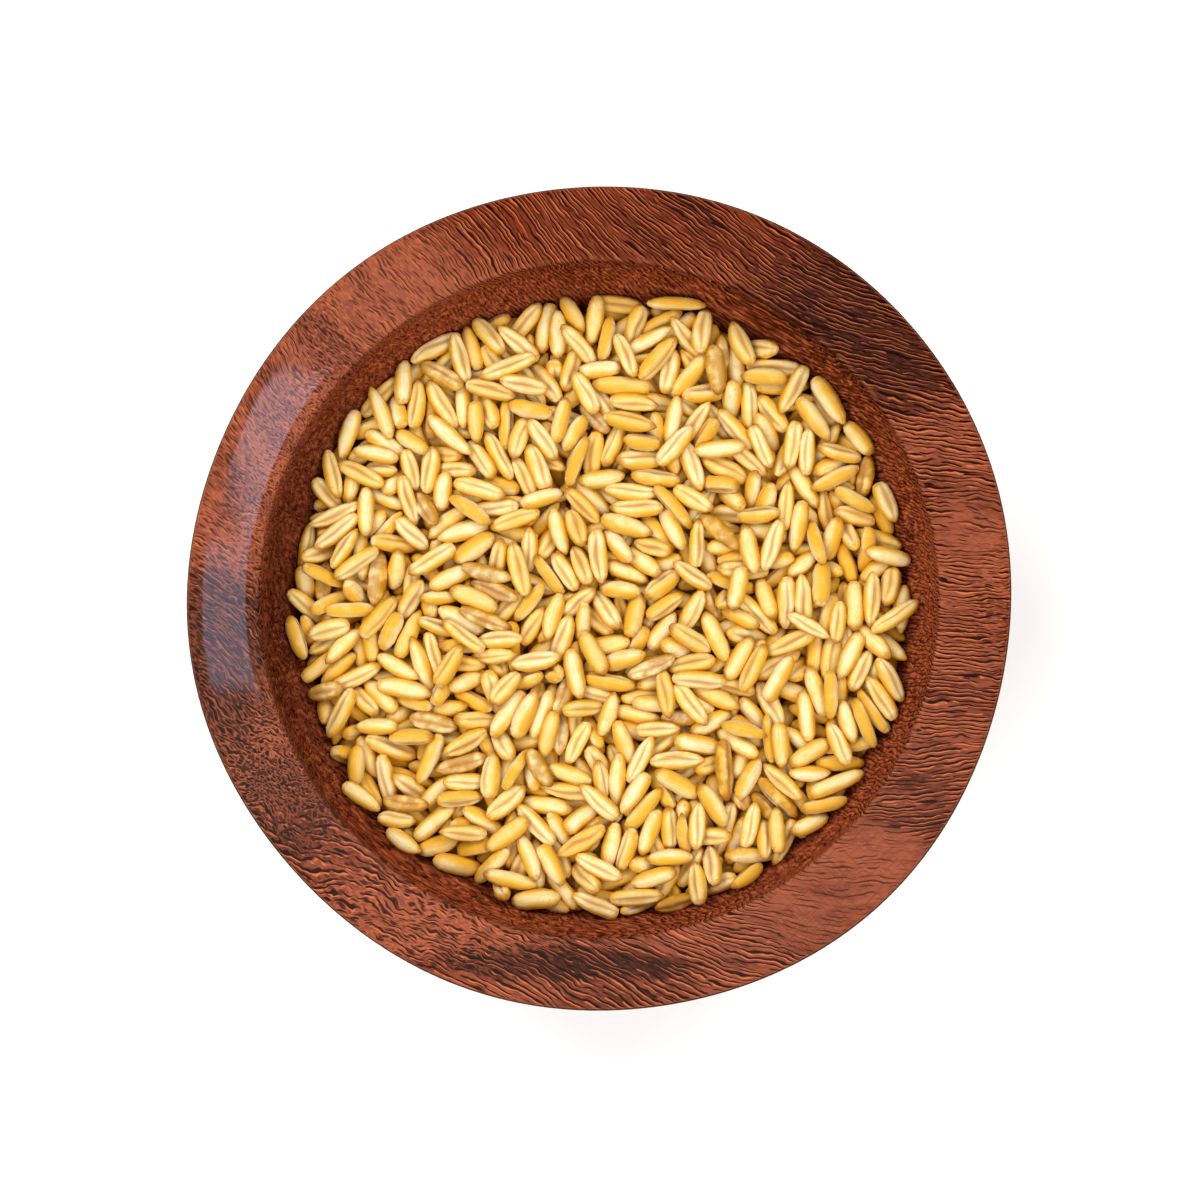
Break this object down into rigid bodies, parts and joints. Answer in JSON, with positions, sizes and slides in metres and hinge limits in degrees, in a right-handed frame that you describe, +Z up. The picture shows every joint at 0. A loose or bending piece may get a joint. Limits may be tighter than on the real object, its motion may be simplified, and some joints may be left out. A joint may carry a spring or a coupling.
{
  "type": "bowl of hulless oats",
  "caption": "Small turned wooden bowl with a broad flat rim on a low foot ring, filled with pale hulless oat kernels to a little below the rim.",
  "frame": {"origin": "centre of the bowl's outline, on the surface that the foot ring stands on", "axes": "+Z up out of the bowl; +X and +Y lie in the plane of the rim, with the wood's grain roughly along X"},
  "size_m": [0.1266, 0.1272, 0.045],
  "materials": {
    "bowl_wood": "red-brown open-pored hardwood, thinly varnished, satin",
    "oat_kernels": "dry pale straw-yellow grain with a slight natural shine"
  },
  "bodies": {
    "root": {"bowl": "bowl_wood", "oats": "oat_kernels"}
  },
  "joints": []
}
